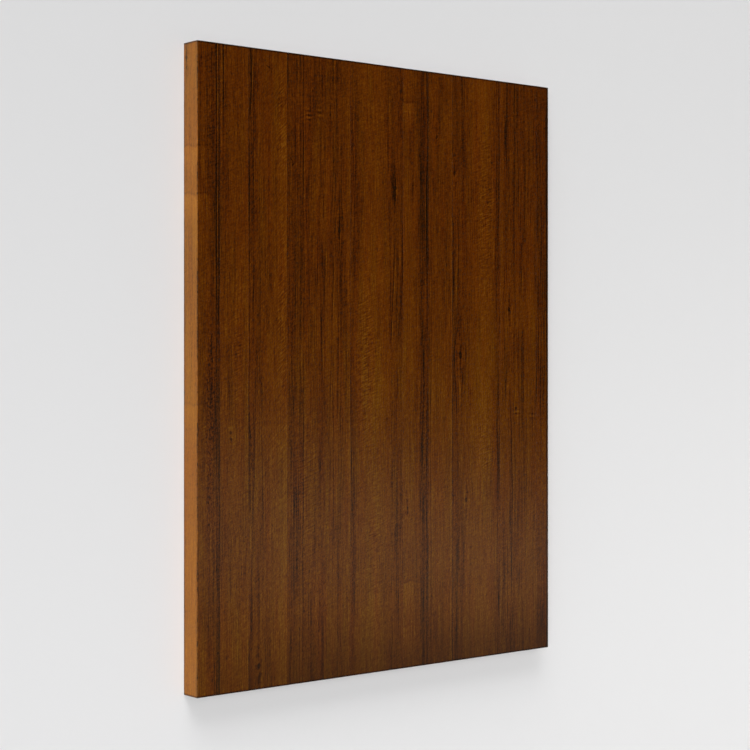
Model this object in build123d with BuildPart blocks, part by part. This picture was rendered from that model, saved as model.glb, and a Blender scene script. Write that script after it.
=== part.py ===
from build123d import *
import os

# A wood veneer panel, lying flat with its face side up. X runs across the grain, Y along the
# grain and Z through the thickness. The origin is the middle of the underside.
# A board core carries a face veneer spliced from leaves, a one-piece backing veneer and
# four edge bands.

# finished panel, in millimetres
panel_width = 450.0
panel_length = 600.0
panel_thickness = 22.0

# veneers and bands
face_veneer_thickness = 0.6
back_veneer_thickness = 0.6
band_thickness = 1.0
arris_radius = 0.5  # the outer corners of the bands are eased by sanding

# Widths of the face leaves, from the left edge. The spliced sheet is wider than the panel,
# and its last leaf is trimmed at the band. A wider panel goes on with the first leaf again.
leaf_widths = (24.0, 32.0, 45.0, 77.0, 67.0, 33.0, 33.0, 67.0, 53.0, 40.0)

# what follows from them
narrowest_strip = min(leaf_widths) / 4  # less isn't glued on, and the leaf before it stays wider
core_width = panel_width - 2 * band_thickness
core_length = panel_length - 2 * band_thickness
core_thickness = panel_thickness - face_veneer_thickness - back_veneer_thickness
face_veneer_level = back_veneer_thickness + core_thickness
eased_radius = min(arris_radius, 0.9 * band_thickness)

os.makedirs("parts", exist_ok=True)


def keep(piece, name):
    """Label a finished piece and write it to its own file."""
    piece.part.label = name
    export_step(piece.part, f"parts/{name}.step")


def leaf_spans():
    """The left and right side of each face leaf, from one side band to the other."""
    spans = []
    left = -core_width / 2
    while left < core_width / 2:
        right = left + leaf_widths[len(spans) % len(leaf_widths)]
        if right > core_width / 2 - narrowest_strip:
            right = core_width / 2
        spans.append((left, right))
        left = right
    return spans


# Core board: plain fibreboard, smaller than the panel by the bands all round.
with BuildPart() as core_board:
    with BuildSketch(Plane.XY.offset(back_veneer_thickness)):
        Rectangle(core_width, core_length)
    extrude(amount=core_thickness)
keep(core_board, "core_board")

# Backing veneer: one sheet, which balances the pull of the face veneer.
with BuildPart() as back_veneer:
    with BuildSketch(Plane.XY):
        Rectangle(core_width, core_length)
    extrude(amount=back_veneer_thickness)
keep(back_veneer, "back_veneer")

# Face veneer: leaves of unequal width with straight, tight joints between them.
for number, (left, right) in enumerate(leaf_spans(), start=1):
    with BuildPart() as face_leaf:
        with BuildSketch(Plane.XY.offset(face_veneer_level)):
            with Locations(((left + right) / 2, 0)):
                Rectangle(right - left, core_length)
        extrude(amount=face_veneer_thickness)
    keep(face_leaf, f"face_leaf_{number:02d}")

# Edge bands: strips as wide as the panel is thick, so that they cover the edges of the core
# and of both veneers. The end bands lie between the side bands, which run the whole length.
# The easing of the outer corners goes all the way round the panel.
for side, outward in (("left", -1), ("right", 1)):
    with BuildPart() as side_band:
        with BuildSketch(Plane.YZ.offset(outward * core_width / 2)):
            with Locations((0, panel_thickness / 2)):
                Rectangle(panel_length, panel_thickness)
        extrude(amount=outward * band_thickness)
        outer_face = side_band.faces().sort_by(Axis.X)[0 if outward < 0 else -1]
        end_corners = side_band.edges().filter_by(Axis.X)
        fillet(outer_face.edges() + end_corners, eased_radius)
    keep(side_band, f"edge_band_{side}")

for end, outward in (("near", -1), ("far", 1)):
    with BuildPart() as end_band:
        with BuildSketch(Plane.XZ.offset(-outward * core_length / 2)):
            with Locations((0, panel_thickness / 2)):
                Rectangle(core_width, panel_thickness)
        extrude(amount=-outward * band_thickness)
        outer_face = end_band.faces().sort_by(Axis.Y)[0 if outward < 0 else -1]
        fillet(outer_face.edges().filter_by(Axis.X), eased_radius)
    keep(end_band, f"edge_band_{end}")
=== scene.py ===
import math
import bpy
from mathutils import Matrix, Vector


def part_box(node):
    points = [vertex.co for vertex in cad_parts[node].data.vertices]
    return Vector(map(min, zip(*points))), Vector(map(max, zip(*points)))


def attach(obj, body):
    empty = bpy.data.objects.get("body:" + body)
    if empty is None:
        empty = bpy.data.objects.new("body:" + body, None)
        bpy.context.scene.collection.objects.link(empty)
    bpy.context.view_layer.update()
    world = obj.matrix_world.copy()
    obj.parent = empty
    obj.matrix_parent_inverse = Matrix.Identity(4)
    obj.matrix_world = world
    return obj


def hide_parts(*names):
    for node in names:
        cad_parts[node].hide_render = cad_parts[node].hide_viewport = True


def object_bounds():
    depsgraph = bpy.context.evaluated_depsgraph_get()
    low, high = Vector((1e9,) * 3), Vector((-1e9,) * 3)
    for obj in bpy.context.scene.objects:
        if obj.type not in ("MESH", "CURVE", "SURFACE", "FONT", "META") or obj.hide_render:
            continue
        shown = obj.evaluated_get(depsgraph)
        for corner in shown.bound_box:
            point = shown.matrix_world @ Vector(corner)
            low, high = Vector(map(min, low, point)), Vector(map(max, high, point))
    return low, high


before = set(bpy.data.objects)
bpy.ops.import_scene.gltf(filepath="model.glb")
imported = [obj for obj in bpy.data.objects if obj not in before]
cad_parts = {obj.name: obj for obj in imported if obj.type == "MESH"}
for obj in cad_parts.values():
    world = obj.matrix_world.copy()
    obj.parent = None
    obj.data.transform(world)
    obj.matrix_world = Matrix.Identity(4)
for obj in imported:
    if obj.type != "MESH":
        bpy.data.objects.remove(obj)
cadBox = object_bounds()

mm = 0.001
panelLow, panelHigh = cadBox
farEnd = panelHigh.y  # the figure in the wood is placed from this end


# Node helpers. A value is a plain number, a tuple or another node's output.

def addNode(tree, kind, **settings):
    node = tree.nodes.new(kind)
    for name, value in settings.items():
        setattr(node, name, value)
    return node


def feed(tree, socket, value):
    if isinstance(value, bpy.types.NodeSocket):
        tree.links.new(value, socket)
    else:
        socket.default_value = value


def calc(tree, operation, *values, clamp=False):
    node = addNode(tree, "ShaderNodeMath", operation=operation, use_clamp=clamp)
    for socket, value in zip(node.inputs, values):
        feed(tree, socket, value)
    return node.outputs[0]


def vectorCalc(tree, operation, *values):
    node = addNode(tree, "ShaderNodeVectorMath", operation=operation)
    for socket, value in zip(node.inputs, values):
        feed(tree, socket, value)
    return node.outputs["Value" if operation == "LENGTH" else "Vector"]


def addShare(tree, part, share, total):
    # total and this share of part
    return calc(tree, "MULTIPLY_ADD", part, share, total)


def swing(tree, noise):
    # a noise of 0 to 1 as it swings round zero
    return calc(tree, "SUBTRACT", noise, 0.5)


def blendIn(tree, value, low, high, start=0.0, end=1.0):
    # goes smoothly from start to end while value goes from low to high
    node = addNode(tree, "ShaderNodeMapRange", interpolation_type="SMOOTHSTEP")
    for socket, number in zip(node.inputs, (value, low, high, start, end)):
        feed(tree, socket, number)
    return node.outputs["Result"]


def window(tree, value, low, high, soft):
    # 1 between low and high, fading out over soft on either side
    rise = blendIn(tree, value, low - soft, low + soft)
    fall = blendIn(tree, value, high - soft, high + soft, 1, 0)
    return calc(tree, "MULTIPLY", rise, fall)


def splitPlace(tree, place):
    axes = addNode(tree, "ShaderNodeSeparateXYZ")
    feed(tree, axes.inputs[0], place)
    return axes.outputs


def joinPlace(tree, across, along):
    joined = addNode(tree, "ShaderNodeCombineXYZ")
    feed(tree, joined.inputs["X"], across)
    feed(tree, joined.inputs["Y"], along)
    return joined.outputs[0]


def turned(tree, place, degrees):
    node = addNode(tree, "ShaderNodeVectorRotate", rotation_type="Z_AXIS")
    feed(tree, node.inputs["Vector"], place)
    node.inputs["Angle"].default_value = math.radians(degrees)
    return node.outputs[0]


def grainNoise(tree, place, wide, long, seed, detail=2.0, rough=0.5):
    # noise whose spots are about this wide across the grain and this long along it, in mm
    at = vectorCalc(tree, "MULTIPLY_ADD", place, (1 / wide, 1 / long, 0), (0, 0, seed))
    noise = addNode(tree, "ShaderNodeTexNoise")
    feed(tree, noise.inputs["Vector"], at)
    noise.inputs["Scale"].default_value = 1
    noise.inputs["Detail"].default_value = detail
    noise.inputs["Roughness"].default_value = rough
    return noise.outputs["Fac"]


def spot(tree, place, across, along, wide, long, lean=0):
    # 1 in the middle of an oval, 0 from its rim on
    off = vectorCalc(tree, "SUBTRACT", place, (across, along, 0))
    if lean:
        off = turned(tree, off, lean)
    reach = vectorCalc(tree, "LENGTH", vectorCalc(tree, "MULTIPLY", off, (1 / wide, 1 / long, 0)))
    return blendIn(tree, reach, 0, 1, 1, 0)


def colourRamp(tree, value, stops):
    ramp = addNode(tree, "ShaderNodeValToRGB")
    steps = ramp.color_ramp.elements
    while len(steps) < len(stops):
        steps.new(1.0)
    for step, (position, colour) in zip(steps, stops):
        step.position = position
        step.color = (*colour, 1)
    feed(tree, ramp.inputs["Fac"], value)
    return ramp.outputs["Color"]


def greyRamp(tree, value, stops):
    return colourRamp(tree, value, [(position, (grey, grey, grey)) for position, grey in stops])


def newMaterial(name):
    material = bpy.data.materials.new(name)
    material.use_nodes = True
    tree = material.node_tree
    return material, tree, tree.nodes["Principled BSDF"]


def addBump(tree, shader, height, strength, distance):
    bump = addNode(tree, "ShaderNodeBump")
    bump.inputs["Strength"].default_value = strength
    bump.inputs["Distance"].default_value = distance * mm
    feed(tree, bump.inputs["Height"], height)
    feed(tree, shader.inputs["Normal"], bump.outputs["Normal"])


# The wood. A piece's look is given in mm across it, from its left or its underside, and in
# mm along it, from the far end or, on the two end bands, from the left.
#   tones     how light the wood is across the piece, 0 is black and 1 the lightest gold
#   lines     dark growth lines: across, width, depth, and where they don't run through also
#             from, to and the drift across on the way. A depth below 0 makes a light line.
#   mottles   patches with dark blots: across, along, width, length, strength
#   knots     across, along, size
#   curl      rippled patches: across, along, width, length, strength
#   crossings short marks across the grain: along, to how far across, how much lighter below
#   rungs     small ladders of cross bars: across, along, width, length, spacing, strength
#   checks    short dark cracks: across, along, length, lean in degrees

heartwoodColours = [
    (0.00, (0.0130, 0.0040, 0.0002)),
    (0.20, (0.0370, 0.0082, 0.0002)),
    (0.40, (0.0710, 0.0150, 0.0002)),
    (0.60, (0.1020, 0.0240, 0.0004)),
    (0.80, (0.1300, 0.0365, 0.0010)),
    (1.00, (0.1700, 0.0580, 0.0032)),
]

edgeColours = [
    (0.00, (0.0410, 0.0150, 0.0014)),
    (0.30, (0.1900, 0.0600, 0.0033)),
    (0.60, (0.3200, 0.1130, 0.0058)),
    (0.80, (0.4200, 0.1560, 0.0116)),
    (1.00, (0.5600, 0.2300, 0.0270)),
]

tintColours = [(0.30, (1.05, 0.94, 1.0)), (0.70, (0.98, 1.04, 1.0)), (1.0, (0.95, 1.16, 1.0))]

# mm across the grain, mm along it, the noise's own seed, detail and, if not 0.5, roughness
woodNoises = {
    "sway": (60, 170, 0.3, 1.5), "tremble": (9, 48, 0.7, 2.0),
    "bands": (15, 210, 1, 2), "clouds": (34, 60, 1.5, 1),
    "wideStreaks": (4.6, 240, 2, 1.5), "thinStreaks": (1.9, 110, 2.5, 1.5),
    "longFibres": (1.0, 34, 3, 2), "shortFibres": (0.7, 6, 4, 2), "specks": (1.2, 1.6, 4.5, 2),
    "hairPatches": (9, 170, 6, 2), "wideHairs": (7, 420, 6.3, 1.5), "thinHairs": (3, 210, 6.7, 1.5),
    "fray": (0.9, 22, 7, 3), "pores": (0.6, 4.2, 8, 1), "ripple": (8, 1.5, 9, 1.5, 0.6),
    "hue": (9, 120, 11, 2), "wobble": (11, 900, 12, 1.5),
    "blots": (1.5, 3.2, 13, 2, 0.65), "knotEdge": (1.5, 2.4, 0, 3, 0.7),
}

# What all the wood has in common. Two numbers in brackets are where a change begins and ends.
woodMake = {
    "linedTones": (0.34, 0.70), "linedLeast": 0.25,  # dark wood is the more finely lined
    "streaks": [("wideStreaks", 0.7), ("thinStreaks", 1.1)],  # each with its share
    "fibres": [("longFibres", 1.1), ("shortFibres", 1.05), ("specks", 0.8)],
    "hairs": [("wideHairs", 0.036), ("thinHairs", 0.056)],  # each with its width
    "streakSides": (0.34, 0.66), "hairSides": (0.40, 0.56), "hairLeast": 0.15,
    "fraySides": (0.36, 0.56), "lineFade": 0.12,  # a line fades out over this share of its length
    "besideOff": 1.3, "besideWide": 0.8, "besideLight": 0.4,  # the light line beside a dark one
    "blotSides": (0.40, 0.62), "poreSides": (0.54, 0.68), "mostPored": 1.2,
    # Towards the near end the colour is painted lighter and warmer, the glow of bounce light and sheen,
    # and then darker, painted shade; the dulling there is only roughness.
    "paintedGlow": (100, 450), "paintedWarmth": (150, 450),  # mm along, and so are the next two
    "paintedEndShade": (525, 610), "endDull": (480, 600),
    "endDark": (0.8, 2.4),  # mm from either end
    "poreRough": 0.06, "rough": 0.08,
    "rippleHeight": 2.2, "hairHeight": -0.4, "bump": 0.35, "bumpHeight": 0.12,
}

# crossings, rungs and checks, in mm
markMake = {
    "wobble": 9, "stepRise": (-0.6, 1.6), "stepFade": (3, 36),  # the lighter wood below a crossing
    "shadeAbove": 1.0, "shadeWide": 1.8, "shadeDepth": 0.9,  # the dark line above it
    "fadeFrom": 0.35,  # a crossing fades from this share of its reach on
    "rungWobble": 3, "checkWide": 0.9, "checkDepth": 0.5,
}

# the width and length of a knot's parts, in sizes of the knot, and how dark or light they are
knotMake = {
    "bend": (5, 15), "bendDepth": 0.8, "eye": (1.2, 2), "eyeRagged": 2.0, "eyeSides": (0.34, 0.68),
    "eyeDepth": 0.46, "rim": (1.6, 3), "rimLight": 0.16, "tail": (0.5, 11), "tailDepth": 0.42,
    "heart": (0.35, 0.6), "heartLight": 0.45,
}


def woodNoise(tree, look, name, place, moreSeed=0):
    wide, long, ownSeed, *softness = woodNoises[name]
    return grainNoise(tree, place, wide, long, look["seed"] + ownSeed + moreSeed, *softness)


def knotSpot(tree, plain, knot, part, shift=0):
    # an oval in the knot, or down and right of its middle by shift
    across, along, size = knot
    wide, long = knotMake[part]
    return spot(tree, plain, across + shift, along + shift, size * wide, size * long)


def bendGrain(tree, look, plain):
    # the grain leans a little, trembles and runs round the knots
    sway = swing(tree, woodNoise(tree, look, "sway", plain))
    tremble = swing(tree, woodNoise(tree, look, "tremble", plain))
    bend = addShare(tree, sway, look["sway"], calc(tree, "MULTIPLY", tremble, look["tremble"]))
    across = splitPlace(tree, plain)["X"]
    for knot in look["knots"]:
        side = calc(tree, "SUBTRACT", across, knot[0])
        pushed = calc(tree, "MULTIPLY", side, knotSpot(tree, plain, knot, "bend"))
        bend = addShare(tree, pushed, -knotMake["bendDepth"], bend)
    return vectorCalc(tree, "ADD", plain, joinPlace(tree, bend, 0))


def addDrift(tree, look, plain, place, tone):
    # broad bands, cloudy patches, and lighter wood towards the near end, which is painted light: a glow
    # of bounce light and sheen
    tone = addShare(tree, swing(tree, woodNoise(tree, look, "bands", place)), look["bands"], tone)
    tone = addShare(tree, swing(tree, woodNoise(tree, look, "clouds", plain)), look["clouds"], tone)
    along = splitPlace(tree, place)["Y"]
    return calc(tree, "ADD", tone, blendIn(tree, along, *woodMake["paintedGlow"], 0, look["paintedGlow"]))


def addGrain(tree, look, place, lined, tone):
    # streaks with firm sides, fibres and specks
    for name, share in woodMake["streaks"]:
        streaks = blendIn(tree, woodNoise(tree, look, name, place), *woodMake["streakSides"])
        streaks = calc(tree, "MULTIPLY", swing(tree, streaks), lined)
        tone = addShare(tree, streaks, look["streaks"] * share, tone)
    for name, share in woodMake["fibres"]:
        fibres = swing(tree, woodNoise(tree, look, name, place))
        tone = addShare(tree, fibres, look["fibres"] * share, tone)
    return tone


def hairLines(tree, look, place, lined):
    # growth lines as thin as hairs, which part and meet again, in patches
    patches = woodNoise(tree, look, "hairPatches", place)
    seen = blendIn(tree, patches, *woodMake["hairSides"], woodMake["hairLeast"], 1.0)
    layers = []
    for name, thin in woodMake["hairs"]:
        level = swing(tree, woodNoise(tree, look, name, place))
        layers.append(blendIn(tree, calc(tree, "ABSOLUTE", level), 0, thin, 1, 0))
    hairs = calc(tree, "MULTIPLY", calc(tree, "MAXIMUM", *layers), seen)
    return calc(tree, "MULTIPLY", hairs, lined)


def addLines(tree, look, place, fray, tone):
    # the growth lines that are picked out one by one, each with a lighter one beside it
    axes = splitPlace(tree, place)
    for middle, wide, depth, *run in look["lines"]:
        begin, end, *drift = run or (0, look["length"])
        off = calc(tree, "SUBTRACT", axes["X"], middle)
        if drift:
            gone = calc(tree, "SUBTRACT", axes["Y"], begin)
            off = addShare(tree, gone, -drift[0] / (end - begin), off)
        dark = blendIn(tree, calc(tree, "ABSOLUTE", off), 0, wide, -depth, 0)
        besideOff = calc(tree, "SUBTRACT", off, wide * woodMake["besideOff"])
        light = blendIn(tree, calc(tree, "ABSOLUTE", besideOff), 0, wide * woodMake["besideWide"],
                        depth * woodMake["besideLight"], 0)
        drawn = calc(tree, "MULTIPLY", calc(tree, "ADD", dark, light), fray)
        if run:
            fade = (end - begin) * woodMake["lineFade"]
            drawn = calc(tree, "MULTIPLY", drawn, window(tree, axes["Y"], begin, end, fade))
        tone = calc(tree, "ADD", tone, drawn)
    return tone


def addBlots(tree, look, plain, place, tone):
    blots = blendIn(tree, woodNoise(tree, look, "blots", place), *woodMake["blotSides"])
    for across, along, wide, long, strength in look["mottles"]:
        patch = spot(tree, plain, across, along, wide, long)
        tone = addShare(tree, calc(tree, "MULTIPLY", blots, patch), -strength, tone)
    return tone


def curlRipple(tree, look, plain, place):
    # fine ripples that lean across the grain, strong in patches
    ripple = swing(tree, woodNoise(tree, look, "ripple", turned(tree, place, look["curlLean"])))
    seen = look["curlAll"]
    for across, along, wide, long, strength in look["curl"]:
        seen = addShare(tree, spot(tree, plain, across, along, wide, long), strength, seen)
    return calc(tree, "MULTIPLY", ripple, seen)


def addMarks(tree, look, plain, place, tone):
    # crossings, rungs and checks
    axes = splitPlace(tree, place)
    wobble = swing(tree, woodNoise(tree, look, "wobble", plain))
    for markAlong, reach, lift in look["crossings"]:
        below = calc(tree, "SUBTRACT", axes["Y"], markAlong)
        below = addShare(tree, wobble, markMake["wobble"], below)
        step = calc(tree, "MULTIPLY", blendIn(tree, below, *markMake["stepRise"]),
                    blendIn(tree, below, *markMake["stepFade"], 1, 0))
        above = calc(tree, "ABSOLUTE", calc(tree, "ADD", below, markMake["shadeAbove"]))
        shade = blendIn(tree, above, 0, markMake["shadeWide"], 1, 0)
        mark = addShare(tree, shade, -lift * markMake["shadeDepth"], calc(tree, "MULTIPLY", step, lift))
        reached = blendIn(tree, axes["X"], reach * markMake["fadeFrom"], reach, 1, 0)
        tone = calc(tree, "ADD", tone, calc(tree, "MULTIPLY", mark, reached))
    for across, along, wide, long, spacing, strength in look["rungs"]:
        bowed = addShare(tree, wobble, markMake["rungWobble"], axes["Y"])
        bars = calc(tree, "SINE", calc(tree, "MULTIPLY", bowed, 2 * math.pi / spacing))
        seen = calc(tree, "MULTIPLY", spot(tree, plain, across, along, wide, long), strength)
        tone = addShare(tree, bars, seen, tone)
    for across, along, long, lean in look["checks"]:
        check = spot(tree, plain, across, along, markMake["checkWide"], long / 2, lean)
        tone = addShare(tree, check, -markMake["checkDepth"], tone)
    return tone


def addKnots(tree, look, plain, fray, tone):
    # a small dark eye with a light rim and heart, and smoky tails along the grain
    for knot in look["knots"]:
        across, along, size = knot
        ragged = swing(tree, woodNoise(tree, look, "knotEdge", plain, along))
        eye = addShare(tree, ragged, knotMake["eyeRagged"], knotSpot(tree, plain, knot, "eye"))
        rim = knotSpot(tree, plain, knot, "rim", size)
        tail = calc(tree, "MULTIPLY", knotSpot(tree, plain, knot, "tail"), fray)
        heart = knotSpot(tree, plain, knot, "heart")
        tone = addShare(tree, rim, knotMake["rimLight"], tone)
        tone = addShare(tree, tail, -knotMake["tailDepth"], tone)
        tone = addShare(tree, blendIn(tree, eye, *knotMake["eyeSides"]), -knotMake["eyeDepth"], tone)
        tone = addShare(tree, heart, knotMake["heartLight"], tone)
    return tone


def darkenEnds(tree, look, plain, tone):
    # darker within a few mm of either end
    half = look["length"] / 2
    fromMiddle = calc(tree, "ABSOLUTE", calc(tree, "SUBTRACT", splitPlace(tree, plain)["Y"], half))
    endGap = calc(tree, "SUBTRACT", half, fromMiddle)
    endDarkening = blendIn(tree, endGap, *woodMake["endDark"], look["endDark"], 0)
    return calc(tree, "SUBTRACT", tone, endDarkening, clamp=True)


def woodColour(tree, look, place, tone):
    # some of the wood is redder and some more golden, at random; the warmer colour towards the near end
    # is painted light, the warm glow of bounce light and sheen
    along = splitPlace(tree, place)["Y"]
    paintedWarmth = blendIn(tree, along, *woodMake["paintedWarmth"], 0, look["paintedWarmth"])
    hue = calc(tree, "ADD", woodNoise(tree, look, "hue", place), paintedWarmth)
    tinted = addNode(tree, "ShaderNodeMix", data_type="RGBA", blend_type="MULTIPLY")
    tinted.inputs["Factor"].default_value = 1
    untinted, tint, mixed = tinted.inputs[6], tinted.inputs[7], tinted.outputs[2]  # colour sockets
    feed(tree, untinted, colourRamp(tree, tone, look["colours"]))
    feed(tree, tint, colourRamp(tree, hue, tintColours))
    # painted shade: the colour darkens towards the near end
    paintedNearEndShade = blendIn(tree, along, *woodMake["paintedEndShade"], 1, look["paintedEndShade"])
    return vectorCalc(tree, "MULTIPLY", mixed, paintedNearEndShade)


def woodMaterial(name, look, width, placeNodes):
    material, tree, shader = newMaterial(name)
    plain = placeNodes(tree)  # mm across and along the piece
    place = bendGrain(tree, look, plain)  # the same, as the grain runs
    axes = splitPlace(tree, place)

    acrossShare = calc(tree, "DIVIDE", axes["X"], width)
    broad = greyRamp(tree, acrossShare, [(across / width, tone) for across, tone in look["tones"]])
    lined = blendIn(tree, broad, *woodMake["linedTones"], 1.0, woodMake["linedLeast"])
    hairs = hairLines(tree, look, place, lined)
    frayNoise = woodNoise(tree, look, "fray", place)
    fray = blendIn(tree, frayNoise, *woodMake["fraySides"], look["fray"], 1.0)
    ripple = curlRipple(tree, look, plain, place)

    tone = addShare(tree, swing(tree, broad), look["contrast"], 0.5)
    tone = addDrift(tree, look, plain, place, tone)
    tone = addGrain(tree, look, place, lined, tone)
    tone = addShare(tree, hairs, -look["hairs"], tone)
    tone = addLines(tree, look, place, fray, tone)
    tone = addBlots(tree, look, plain, place, tone)

    # pores: short dark dashes, more of them in the dark wood
    poreNoise = woodNoise(tree, look, "pores", place)
    poreShare = calc(tree, "SUBTRACT", woodMake["mostPored"], tone, clamp=True)
    pores = calc(tree, "MULTIPLY", blendIn(tree, poreNoise, *woodMake["poreSides"]), poreShare)
    tone = addShare(tree, pores, -look["pores"], tone)

    # the ripples lighten and darken the colour: the curl figure, and partly a painted sheen of glints
    tone = calc(tree, "ADD", tone, ripple)
    tone = addMarks(tree, look, plain, place, tone)
    tone = addKnots(tree, look, plain, fray, tone)
    tone = darkenEnds(tree, look, plain, tone)
    feed(tree, shader.inputs["Base Color"], woodColour(tree, look, place, tone))

    # an oiled satin surface: pores are dull, and the ripples catch the light
    roughness = addShare(tree, pores, woodMake["poreRough"], look["roughness"])
    roughness = addShare(tree, swing(tree, poreNoise), woodMake["rough"], roughness)
    dull = blendIn(tree, axes["Y"], *woodMake["endDull"], 0, look["endDull"])
    feed(tree, shader.inputs["Roughness"], calc(tree, "ADD", roughness, dull))
    shader.inputs["Specular IOR Level"].default_value = look["shine"]
    rippleHeight = calc(tree, "MULTIPLY", ripple, woodMake["rippleHeight"])
    height = addShare(tree, pores, -1.0, rippleHeight)
    height = addShare(tree, hairs, woodMake["hairHeight"], height)
    addBump(tree, shader, height, woodMake["bump"], woodMake["bumpHeight"])
    return material


def placeFrom(left, end, acrossAxis="X", alongAxis="Y", alongSign=-1):
    # mm across from left and mm along from end, out of the object coordinates
    def placeNodes(tree):
        coords = addNode(tree, "ShaderNodeTexCoord")
        axes = splitPlace(tree, coords.outputs["Object"])
        across = calc(tree, "MULTIPLY", calc(tree, "SUBTRACT", axes[acrossAxis], left), 1 / mm)
        along = calc(tree, "MULTIPLY", calc(tree, "SUBTRACT", axes[alongAxis], end), alongSign / mm)
        return joinPlace(tree, across, along)
    return placeNodes


# Sheet-like pieces. Each starts as a grid on its outer face and is extruded inwards. How it is
# built is given in mm:
#   cell      the grid's cells along the two sides that its facing names
#   easing    how much the corners of the outer face are eased
#   easedEnds False where the ends butt against other pieces and stay sharp
#   hollows   how large the hollows of the raised grain are along x, y and z
#   depth     how deep they are
#   columns   not mm: how many columns the outer face is folded into on its map

facings = {
    "up": {"normal": (0, 0, 1), "turn": (0, 0, 0), "sides": "xy"},
    "down": {"normal": (0, 0, -1), "turn": (180, 0, 0), "sides": "xy"},
    "left": {"normal": (-1, 0, 0), "turn": (0, -90, 0), "sides": "zy"},
    "right": {"normal": (1, 0, 0), "turn": (0, 90, 0), "sides": "zy"},
    "near": {"normal": (0, -1, 0), "turn": (90, 0, 0), "sides": "xz"},
    "far": {"normal": (0, 1, 0), "turn": (-90, 0, 0), "sides": "xz"},
}

sheetMake = {
    "tiny": 0.001,  # mm, a corner this near to a side lies on it
    "flatRim": 1.2,  # times the easing, the rim that gets no hollows
    "roundedFrom": 0.2, "roundSteps": 4,  # mm, a larger easing is rounded and a smaller one flat
    "hollowsFrom": (0.37, 0.11, 0.23), "hollowDetail": 2,  # m, where their noise starts
    "smoothBelow": 35,  # degrees
}

# where the sides of a sheet lie on its map, as shares of the map
mapMake = {
    "foot": 0.01, "long": 0.98, "outerWide": 0.80, "columnFill": 0.96,
    "backLeft": 0.83, "backWide": 0.08, "sideLefts": (0.925, 0.945), "sideWide": 0.012,
    "endLeft": 0.965, "endWide": 0.025, "endFeet": (0.01, 0.51), "endLong": 0.48,
    "tilt": 0.45,  # no share: a face tilted further than this is a narrow side
}


def extrudeGrid(name, outerMiddle, way, sides, counts, inwards):
    bpy.ops.object.select_all(action="DESELECT")
    bpy.ops.mesh.primitive_grid_add(
        x_subdivisions=counts[0], y_subdivisions=counts[1], size=1, location=outerMiddle,
        rotation=[math.radians(angle) for angle in way["turn"]])
    piece = bpy.context.object
    piece.name = name
    piece.data.name = name
    piece.scale = (*sides, 1)
    bpy.ops.object.transform_apply(location=True, rotation=True, scale=True)

    bpy.ops.object.mode_set(mode="EDIT")
    bpy.ops.mesh.select_all(action="SELECT")
    bpy.ops.mesh.extrude_region_move(TRANSFORM_OT_translate={"value": inwards})
    bpy.ops.mesh.dissolve_faces()  # one face is enough inside
    bpy.ops.mesh.select_all(action="SELECT")
    bpy.ops.mesh.normals_make_consistent(inside=False)
    bpy.ops.object.mode_set(mode="OBJECT")
    return piece


def easeEdges(piece, wanted, easing):
    bpy.ops.object.mode_set(mode="EDIT")
    bpy.ops.mesh.select_mode(type="EDGE")
    bpy.ops.mesh.select_all(action="DESELECT")
    bpy.ops.object.mode_set(mode="OBJECT")
    corners = piece.data.vertices
    for edge in piece.data.edges:
        edge.select = wanted(*(corners[i].co for i in edge.vertices))
    bpy.ops.object.mode_set(mode="EDIT")
    steps = sheetMake["roundSteps"] if easing > sheetMake["roundedFrom"] else 1
    bpy.ops.mesh.bevel(offset=easing * mm, segments=steps, affect="EDGES")
    bpy.ops.object.mode_set(mode="OBJECT")


def pressGrain(piece, wanted, hollows, depth):
    # the raised grain: long shallow hollows pressed into the wanted corners
    grainTexture = bpy.data.textures.new(piece.name + "Relief", "CLOUDS")
    grainTexture.noise_scale = 1.0
    grainTexture.noise_depth = sheetMake["hollowDetail"]
    bpy.ops.object.empty_add(location=sheetMake["hollowsFrom"])
    stretch = bpy.context.object
    stretch.scale = [hollow * mm for hollow in hollows]
    bpy.ops.object.select_all(action="DESELECT")
    bpy.context.view_layer.objects.active = piece
    piece.select_set(True)
    pressed = [corner.index for corner in piece.data.vertices if wanted(corner.co)]
    piece.vertex_groups.new(name="outerFace").add(pressed, 1.0, "REPLACE")
    press = piece.modifiers.new("raisedGrain", "DISPLACE")
    press.texture = grainTexture
    press.texture_coords = "OBJECT"
    press.texture_coords_object = stretch
    press.vertex_group = "outerFace"
    press.mid_level = 1.0  # only inwards
    press.strength = depth * mm
    bpy.ops.object.modifier_apply(modifier="raisedGrain")
    bpy.data.objects.remove(stretch)
    piece.vertex_groups.clear()


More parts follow.
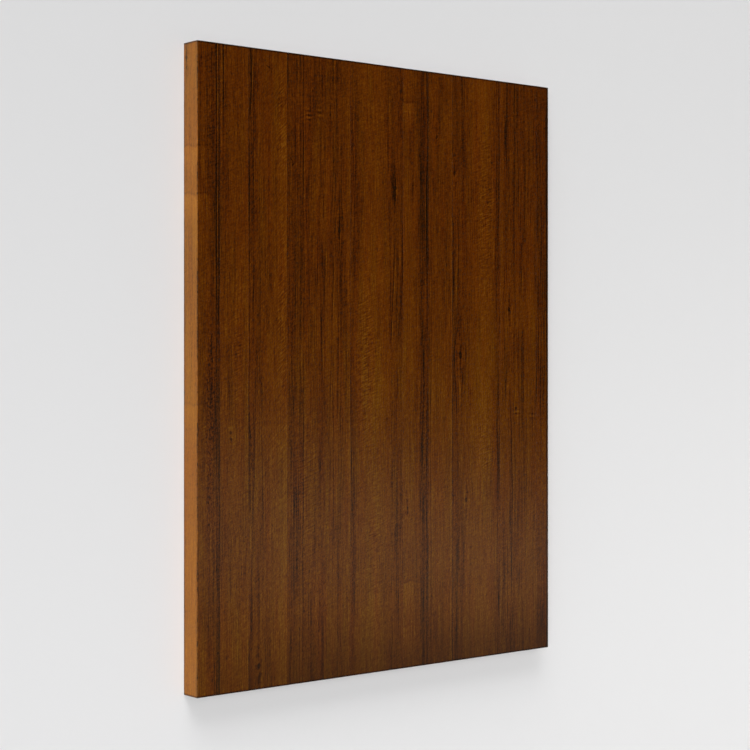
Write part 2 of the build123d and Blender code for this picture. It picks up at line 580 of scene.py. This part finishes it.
def modelSheet(name, node, facing, build):
    low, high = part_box(node)
    size = high - low
    way = facings[facing]
    normal = Vector(way["normal"])
    thickness = abs(size.dot(normal))
    outerMiddle = (low + high) / 2 + normal * thickness / 2
    sides = [getattr(size, side) for side in way["sides"]]
    counts = [max(2, round(side / (step * mm))) for side, step in zip(sides, build["cell"])]
    piece = extrudeGrid(name, outerMiddle, way, sides, counts, -normal * thickness)
    tiny = sheetMake["tiny"] * mm
    rim = sheetMake["flatRim"] * build["easing"] * mm

    def onOuterFace(corner):
        return abs(corner.dot(normal) - outerMiddle.dot(normal)) < tiny

    def clearOfSides(corner):
        return all(getattr(low, axis) + rim < getattr(corner, axis) < getattr(high, axis) - rim
                   for axis in way["sides"])

    def onSameSide(a, b, axes):
        return any(abs(getattr(a, axis) - wall) < tiny and abs(getattr(b, axis) - wall) < tiny
                   for axis in axes for wall in (getattr(low, axis), getattr(high, axis)))

    def toEase(a, b):
        if onOuterFace(a) and onOuterFace(b):
            return onSameSide(a, b, way["sides"] if build["easedEnds"] else "z")
        atPanelCorner = onSameSide(a, b, "y") and onSameSide(a, b, "z")
        return build["easedEnds"] and facing in ("left", "right") and atPanelCorner

    easeEdges(piece, toEase, build["easing"])
    pressGrain(piece, lambda corner: onOuterFace(corner) and clearOfSides(corner),
               build["hollows"], build["depth"])
    bpy.ops.object.shade_smooth_by_angle(angle=math.radians(sheetMake["smoothBelow"]))
    layOut(piece, facing, build["columns"])
    return piece


def layOut(piece, facing, columns):
    # a map to bake through: the outer face folded into columns, the back and the narrow sides
    # beside them
    corners = piece.data.vertices
    low, high = (Vector(pick(v.co[i] for v in corners) for i in range(3)) for pick in (min, max))
    outward = Vector(facings[facing]["normal"])
    through = [abs(part) for part in outward].index(1)
    along = 0 if facing in ("near", "far") else 1
    across = 3 - along - through
    shares = [[(v.co[i] - low[i]) / (high[i] - low[i]) for i in range(3)] for v in corners]
    layer = piece.data.uv_layers.new(name="OFBake")
    foot, long = mapMake["foot"], mapMake["long"]
    columnWide = mapMake["outerWide"] / columns

    for face in piece.data.polygons:
        facingOut = face.normal.dot(outward)
        sideways, endways = face.normal[across], face.normal[along]
        middle = sum(shares[i][along] for i in face.vertices) / len(face.vertices)
        for loop, vertex in zip(face.loop_indices, face.vertices):
            acrossAt, alongAt, throughAt = (shares[vertex][axis] for axis in (across, along, through))
            if facingOut > mapMake["tilt"]:
                column = min(int(middle * columns), columns - 1)
                place = (foot + (column + acrossAt * mapMake["columnFill"]) * columnWide,
                         foot + (alongAt * columns - column) * long)
            elif facingOut < -mapMake["tilt"]:
                place = (mapMake["backLeft"] + acrossAt * mapMake["backWide"],
                         foot + alongAt * long)
            elif abs(sideways) >= abs(endways):
                left = mapMake["sideLefts"][sideways >= 0]
                place = (left + throughAt * mapMake["sideWide"], foot + alongAt * long)
            else:
                endFoot = mapMake["endFeet"][endways >= 0]
                place = (mapMake["endLeft"] + throughAt * mapMake["endWide"],
                         endFoot + acrossAt * mapMake["endLong"])
            layer.data[loop].uv = place


def finishPiece(piece, node, material):
    piece.data.materials.clear()
    piece.data.materials.append(material)
    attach(piece, "root")
    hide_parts(node)


# Face leaves, from the left

leafBuild = {"cell": (0.8, 5), "easing": 0.02, "easedEnds": True, "hollows": (2.6, 130, 40),
             "depth": 0.05, "columns": 3}
narrowLeaf = {"under": 40, "columns": 4}  # leaves narrower than this many mm

leafBase = {
    "colours": heartwoodColours, "contrast": 0.55, "length": 600,
    "sway": 5.0, "tremble": 1.5,  # mm, how far the grain leans and trembles
    "bands": 0.11, "clouds": 0.24, "streaks": 0.125, "fibres": 0.72, "hairs": 0.39, "pores": 0.34,
    "fray": 0.30,  # how much is left of a line where it frays
    "curlAll": 0.5, "curlLean": 20,  # how rippled it is all over, and the ripples' lean in degrees
    "paintedGlow": 0.14, "paintedWarmth": 0.30,  # how much lighter and warmer towards the near end: painted glow of bounce light and sheen
    "endDark": 0.35,  # how much darker the wood is near either end
    "paintedEndShade": 0.55, "endDull": 0.08,  # brightness left at the near end, painted shade, and roughness added there
    "lines": [], "mottles": [], "knots": [], "curl": [], "crossings": [], "rungs": [], "checks": [],
    "roughness": 0.255, "shine": 0.19,
}

leafLooks = [
    {"seed": 11, "sway": 1.0, "tremble": 0.8, "fray": 0.75, "paintedEndShade": 1,
     "tones": [(0, 0.46), (1.0, 0.56), (8, 0.56), (14, 0.45), (18.5, 0.40), (21.5, 0.39), (24, 0.37)],
     "lines": [(20.4, 1.0, 0.50, -60, 240), (20.9, 1.3, 0.30, 240, 640),
               (22.1, 0.7, -0.20, -60, 240), (23.1, 1.3, 0.54, -60, 640)],
     "mottles": [(14.5, 60, 7, 150, 0.22), (13, 350, 11, 180, 0.44)],
     "crossings": [(96, 22, 0.10), (140, 20, 0.12), (333, 9, 0.09)]},
    {"seed": 23, "sway": 3.0, "paintedEndShade": 0.85,
     "tones": [(0, 0.54), (6, 0.52), (14, 0.62), (22, 0.62), (29, 0.60), (32, 0.68)],
     "lines": [(2, 1.1, -0.20, -60, 130), (4.2, 1.0, 0.45, -80, 80), (7, 0.8, 0.22, -60, 150),
               (10.5, 0.8, 0.26, 280, 350), (13, 0.8, 0.30, 280, 350), (31.3, 0.9, -0.14)],
     "curl": [(20, 290, 7, 70, 0.7)],
     "knots": [(12, 359, 1.6), (13, 365, 1.5)]},
    {"seed": 37, "paintedEndShade": 0.72, "curlLean": 42,
     "tones": [(0, 0.46), (5, 0.44), (10, 0.53), (22, 0.56), (33, 0.66), (43, 0.81), (45, 0.81)],
     "lines": [(5.2, 1.1, 0.55, -30, 60, -3.4), (2.0, 1.4, 0.60, -60, 30), (1.4, 1.0, 0.30, 60, 340),
               (5.5, 1.0, 0.32, 70, 150), (9.6, 1.0, 0.34, 20, 90), (9, 1.0, 0.30, 290, 420, -2.5),
               (15.5, 1.2, 0.32, 300, 470, 1.5), (13, 1.6, 0.22, 470, 640)],
     "mottles": [(5, 80, 5, 60, 0.16), (4, 390, 5, 22, 0.24)],
     "curl": [(40, 250, 10, 190, 0.9), (38, 60, 9, 70, 1.2)],
     "knots": [(12, 578, 2.6)],
     "checks": [(23, 16, 11, 62)]},
    {"seed": 41, "hairs": 0.48,
     "tones": [(0, 0.45), (7, 0.44), (13, 0.49), (26, 0.56), (34, 0.54), (42, 0.50), (48, 0.59),
               (56, 0.53), (63, 0.54), (71, 0.58), (75, 0.68), (77, 0.52)],
     "lines": [(9, 1.2, 0.18), (16, 0.9, 0.30), (19.5, 0.9, 0.34), (45.2, 1.4, 0.52, 182, 232, -0.8),
               (40.8, 1.3, 0.46, 250, 305, 0.6), (43, 1.8, 0.30, 120, 156), (55, 1.0, 0.20),
               (61, 0.8, 0.18), (57, 1.0, 0.34, 170, 340, -6), (63, 1.1, 0.34, 225, 345, -3),
               (72, 1.0, 0.36, 250, 345, -1.5), (75, 1.0, -0.12)],
     "mottles": [(32, 40, 16, 60, 0.14), (56, 30, 22, 70, 0.12), (5, 260, 6, 100, 0.20),
                 (5, 350, 7, 80, 0.16)],
     "curl": [(25, 420, 22, 130, 0.5)],
     "knots": [(63, 166, 2.9), (52, 55, 1.8)],
     "rungs": [(26, 58, 6, 11, 4.2, 0.36), (39, 54, 5, 9, 5.0, 0.34)],
     "checks": [(5, 101, 9, 40), (7, 106, 5, -30)]},
    {"seed": 53,
     "tones": [(0, 0.34), (4, 0.46), (11, 0.62), (24, 0.73), (36, 0.71), (45, 0.59), (54, 0.47),
               (61, 0.44), (67, 0.44)],
     "lines": [(1.5, 1.4, 0.34, 46, 90), (56, 1.3, 0.40, 165, 275, -5), (52, 0.9, 0.30, 260, 640),
               (60.5, 1.0, 0.30, 190, 245, -3), (62.5, 1.3, 0.34, 244, 275, -2),
               (59, 1.6, 0.34, 298, 330)],
     "mottles": [(7, 40, 7, 70, 0.14)],
     "curl": [(19, 300, 17, 130, 1.1), (30, 470, 18, 110, 0.6)],
     "knots": [(57, 121, 2.4)]},
    {"seed": 67,
     "tones": [(0, 0.62), (7, 0.63), (15, 0.60), (20.5, 0.50), (23.5, 0.36), (26.5, 0.22), (29, 0.32),
               (30.5, 0.26), (33, 0.28)],
     "lines": [(26, 1.4, 0.22), (29.6, 0.9, -0.16), (32, 0.9, 0.40)],
     "mottles": [(28, 380, 7, 170, 0.24), (27, 100, 5, 120, 0.10), (18, 30, 9, 80, 0.14)],
     "crossings": [(34, 22, 0.23), (515, 29, 0.13), (559, 24, 0.09)],
     "knots": [(5, 433, 1.7), (6, 440, 1.6)]},
    {"seed": 73,
     "tones": [(0, 0.54), (4, 0.53), (10, 0.60), (20, 0.57), (27, 0.59), (31, 0.66), (33, 0.60)],
     "lines": [(0.5, 0.8, 0.34), (4, 0.9, 0.32, 300, 640), (31.6, 1.0, -0.26, 150, 640)],
     "knots": [(12, 65, 2.2)],
     "checks": [(14, 68, 6, -35)]},
    {"seed": 83,
     "tones": [(0, 0.36), (3, 0.34), (12, 0.43), (20, 0.55), (30, 0.66), (42, 0.75), (52, 0.69),
               (60, 0.54), (64, 0.36), (67, 0.34)],
     "lines": [(0.4, 1.0, 0.34), (1, 1.2, 0.3, 150, 190), (3.8, 3.0, -0.24, 195, 290),
               (59, 6.0, -0.12, 95, 205), (65, 1.6, 0.25, 296, 352)],
     "curl": [(46, 140, 19, 140, 1.0), (48, 385, 19, 60, 0.8)],
     "knots": [(11, 287, 3.5), (3, 101, 2.4), (19, 436, 2.6)]},
    {"seed": 97, "hairs": 0.42,
     "tones": [(0, 0.60), (3, 0.58), (6, 0.46), (16, 0.48), (21, 0.42), (28, 0.50), (34, 0.51),
               (45, 0.56), (49, 0.56), (53, 0.46)],
     "lines": [(16, 1.0, 0.20), (21, 1.0, 0.22), (31.8, 1.2, 0.50, 170, 224, -1.6),
               (33.5, 3.6, 0.30, 258, 312), (36, 1.2, 0.40, 88, 156)],
     "knots": [(13, 239, 2.6), (23, 343, 1.8)],
     "rungs": [(24, 347, 8, 6, 5, 0.34), (47, 351, 8, 6, 5, 0.30)]},
    {"seed": 107, "sway": 1.0, "fray": 0.6, "hairs": 0.34, "streaks": 0.10, "bands": 0.10,
     "tones": [(0, 0.44), (2.5, 0.36), (5.5, 0.44), (7.5, 0.36), (12, 0.42), (14.7, 0.40),
               (15.3, 0.0), (17, 0.0)],
     "lines": [(3, 1.1, 0.40, 190, 300), (4, 0.9, 0.36, 250, 330), (7.2, 0.9, 0.42, 185, 420),
               (0.5, 0.9, 0.40, 240, 340), (11.5, 0.8, 0.26, 150, 330), (16.2, 1.0, 0.60)],
     "mottles": [(9, 330, 9, 60, 0.16)]},
]

leafNodes = sorted(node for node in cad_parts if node.startswith("face_leaf"))
for node, ownLook in zip(leafNodes, leafLooks):
    low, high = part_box(node)
    width = (high.x - low.x) / mm
    build = dict(leafBuild)
    if width < narrowLeaf["under"]:
        build["columns"] = narrowLeaf["columns"]
    leaf = modelSheet(node.replace("_", "-") + "-veneer", node, "up", build)
    look = {**leafBase, **ownLook}
    wood = woodMaterial(node + " wood", look, width, placeFrom(low.x, farEnd))
    finishPiece(leaf, node, wood)
print("face leaves laid:", len(leafNodes))


# Edge bands: the side bands run the whole length, and the end bands lie between them

sideBuild = {"cell": (1, 5), "easing": 0.5, "easedEnds": True, "hollows": (2.2, 90, 2.2),
             "depth": 0.03, "columns": 6}
endBuild = {**sideBuild, "cell": (5, 1), "easedEnds": False, "hollows": (90, 2.2, 2.2)}

sideBase = {
    **leafBase, "colours": edgeColours, "contrast": 1.0, "sway": 1.5, "tremble": 1.2,
    "bands": 0.12, "clouds": 0.12, "streaks": 0.12, "fibres": 0.46, "hairs": 0.05, "pores": 0.22,
    "curlAll": 0.18, "paintedGlow": 0.04, "paintedWarmth": 0, "endDark": 0.4, "paintedEndShade": 1, "endDull": 0,
    "roughness": 0.42,
}
endBase = {**sideBase, "colours": heartwoodColours, "endDark": 0, "length": 448}

# the last tones are the eased upper corner, which is dark: painted shade, the dark outline round the
# face. On the left band the first tones darken the eased lower corner too: painted shade where it turns
# away from the light
bandLooks = {
    "left": {"seed": 131,
             "tones": [(0, 0.06), (1.0, 0.16), (2.0, 0.50), (11, 0.51), (20.9, 0.50), (21.6, 0.28),
                       (22, 0.14)],
             "lines": [(13.3, 1.8, 0.12, 90, 330), (11, 22, 0.07, 190, 400)],
             "crossings": [(96, 60, 0.11), (140, 60, 0.12), (333, 60, 0.08)],
             "knots": [(4.5, 14, 2.5)]},
    "right": {"seed": 139, "tones": [(0, 0.50), (12, 0.57), (20.8, 0.52), (21.3, 0.05), (22, 0.04)]},
    "near": {"seed": 149, "tones": [(0, 0.26), (9, 0.32), (20.6, 0.26), (21.3, 0.10), (22, 0.09)]},
    "far": {"seed": 151, "tones": [(0, 0.28), (14, 0.30), (20.6, 0.24), (21.3, 0.10), (22, 0.09)]},
}

for side, ownLook in bandLooks.items():
    node = "edge_band_" + side
    low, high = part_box(node)
    if side in ("left", "right"):
        build, base = sideBuild, sideBase
        place = placeFrom(panelLow.z, farEnd, "Z", "Y", -1)
    else:
        build, base = endBuild, endBase
        place = placeFrom(panelLow.z, low.x, "Z", "X", 1)
    band = modelSheet("edge-band-" + side + "-strip", node, side, build)
    wood = woodMaterial(node + " wood", {**base, **ownLook}, (high.z - low.z) / mm, place)
    finishPiece(band, node, wood)
print("edge bands glued on:", len(bandLooks))


# Backing veneer

backBuild = {"cell": (2, 8), "easing": 0.07, "easedEnds": True, "hollows": (3.2, 160, 40),
             "depth": 0.03, "columns": 1}
backLook = {
    **leafBase, "seed": 211, "sway": 14, "hairs": 0.14, "curlAll": 0.15, "paintedGlow": 0,
    "endDark": 0, "paintedEndShade": 1, "endDull": 0, "roughness": 0.6, "shine": 0.25,
    "tones": [(0, 0.55), (90, 0.62), (210, 0.56), (330, 0.64), (448, 0.58)],
}

low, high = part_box("back_veneer")
back = modelSheet("back-veneer-sheet", "back_veneer", "down", backBuild)
wood = woodMaterial("back_veneer wood", backLook, (high.x - low.x) / mm, placeFrom(low.x, farEnd))
finishPiece(back, "back_veneer", wood)


# Core board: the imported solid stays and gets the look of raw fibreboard

coreLook = {
    "flecks": 1.2, "clouds": 30,  # mm
    "colours": [(0.3, (0.30, 0.20, 0.11)), (0.7, (0.42, 0.30, 0.18))],
    "roughness": 0.7, "fleckRough": 0.2, "bump": 0.3, "bumpHeight": 0.1,
}


def fibreboardMaterial(name, look):
    material, tree, shader = newMaterial(name)
    coords = addNode(tree, "ShaderNodeTexCoord")
    place = vectorCalc(tree, "MULTIPLY", coords.outputs["Object"], (1 / mm, 1 / mm, 1 / mm))
    flecks = grainNoise(tree, place, look["flecks"], look["flecks"], 1, 4)
    clouds = grainNoise(tree, place, look["clouds"], look["clouds"], 2, 2)
    both = addShare(tree, clouds, 0.5, calc(tree, "MULTIPLY", flecks, 0.5))
    feed(tree, shader.inputs["Base Color"], colourRamp(tree, both, look["colours"]))
    roughness = addShare(tree, flecks, look["fleckRough"], look["roughness"])
    feed(tree, shader.inputs["Roughness"], roughness)
    addBump(tree, shader, flecks, look["bump"], look["bumpHeight"])
    return material


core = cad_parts["core_board"]
core.data.materials.clear()
core.data.materials.append(fibreboardMaterial("core_board fibreboard", coreLook))
print("back and core done")


# Floor and backdrop

stageLook = {
    "floorSize": 40, "floorBlend": (-0.45, 0.45),  # m, the blend runs along the panel
    # the floor is lighter near the panel and darker far off: painted light falloff
    "floorNear": (0.86, 0.86, 0.868), "floorFar": (0.76, 0.76, 0.766),
    "floorRough": 0.9, "floorShine": 0.1,
    "horizon": (0.75, 0.75, 0.75), "overhead": (0.015, 0.015, 0.015),
    "skyBlend": (0.05, 0.45),  # 0 is the horizon and 1 straight up
}


def gradient(tree, coordinate, axis, between, colours):
    coords = addNode(tree, "ShaderNodeTexCoord")
    level = splitPlace(tree, coords.outputs[coordinate])[axis]
    return colourRamp(tree, blendIn(tree, level, *between), list(enumerate(colours)))


bpy.ops.object.select_all(action="DESELECT")
bpy.ops.mesh.primitive_plane_add(size=stageLook["floorSize"], location=(0, 0, 0))
floor = bpy.context.object
floor.name = "floor"
floorMaterial, tree, floorShader = newMaterial("pale floor")
floorShader.inputs["Roughness"].default_value = stageLook["floorRough"]
floorShader.inputs["Specular IOR Level"].default_value = stageLook["floorShine"]
# painted light falloff: the floor's colour blends from light near the panel to darker far off
floorColours = (stageLook["floorNear"], stageLook["floorFar"])
feed(tree, floorShader.inputs["Base Color"],
     gradient(tree, "Object", "Y", stageLook["floorBlend"], floorColours))
floor.data.materials.append(floorMaterial)

world = bpy.data.worlds.new("studio")
bpy.context.scene.world = world
world.use_nodes = True
tree = world.node_tree
backdrop = tree.nodes["Background"]
skyColours = (stageLook["horizon"], stageLook["overhead"])
feed(tree, backdrop.inputs["Color"],
     gradient(tree, "Generated", "Z", stageLook["skyBlend"], skyColours))
backdrop.inputs["Strength"].default_value = 1


# Lights and camera

suns = {  # strength, how wide it is in degrees, turn
    "key light": (1.98, 30, (-2, -39, 0)),
    "fill light": (0.55, 50, (-8, -16, 0)),
    "low light": (1.45, 40, (-60, -38, 0)),
}
softBoxLook = {
    "power": 1.5, "colour": (1.0, 0.92, 0.80),
    "size": (0.31, 1.2), "place": (1.0, -0.375, 1.22), "aim": (0.0, -0.2, 0.02),  # m
}
viewFrom = {
    "tilt": 39.38,  # degrees
    "place": (-1.1233, 0.0106, 1.3719), "reach": 100,  # m
    "lens": 85, "sensor": 36,  # mm
    "shiftY": -0.0233,  # share of the picture
}

for name, (strength, wide, turn) in suns.items():
    bpy.ops.object.light_add(type="SUN", rotation=[math.radians(angle) for angle in turn])
    sun = bpy.context.object
    sun.name = name
    sun.data.energy = strength
    sun.data.angle = math.radians(wide)

bpy.ops.object.light_add(type="AREA", location=softBoxLook["place"])
softBox = bpy.context.object
softBox.name = "soft box"
softBox.data.shape = "RECTANGLE"
softBox.data.size, softBox.data.size_y = softBoxLook["size"]
softBox.data.energy = softBoxLook["power"]
softBox.data.color = softBoxLook["colour"]
softBox.visible_camera = False
toPanel = Vector(softBoxLook["aim"]) - Vector(softBoxLook["place"])
softBox.rotation_euler = toPanel.to_track_quat("-Z", "Y").to_euler()

cameraTurn = (0, math.radians(-viewFrom["tilt"]), 0)
bpy.ops.object.camera_add(location=viewFrom["place"], rotation=cameraTurn)
camera = bpy.context.object
camera.data.lens = viewFrom["lens"]
camera.data.sensor_width = viewFrom["sensor"]
camera.data.shift_y = viewFrom["shiftY"]
camera.data.clip_end = viewFrom["reach"]
bpy.context.scene.camera = camera
bpy.context.scene.view_settings.view_transform = "Standard"
print("stage set")
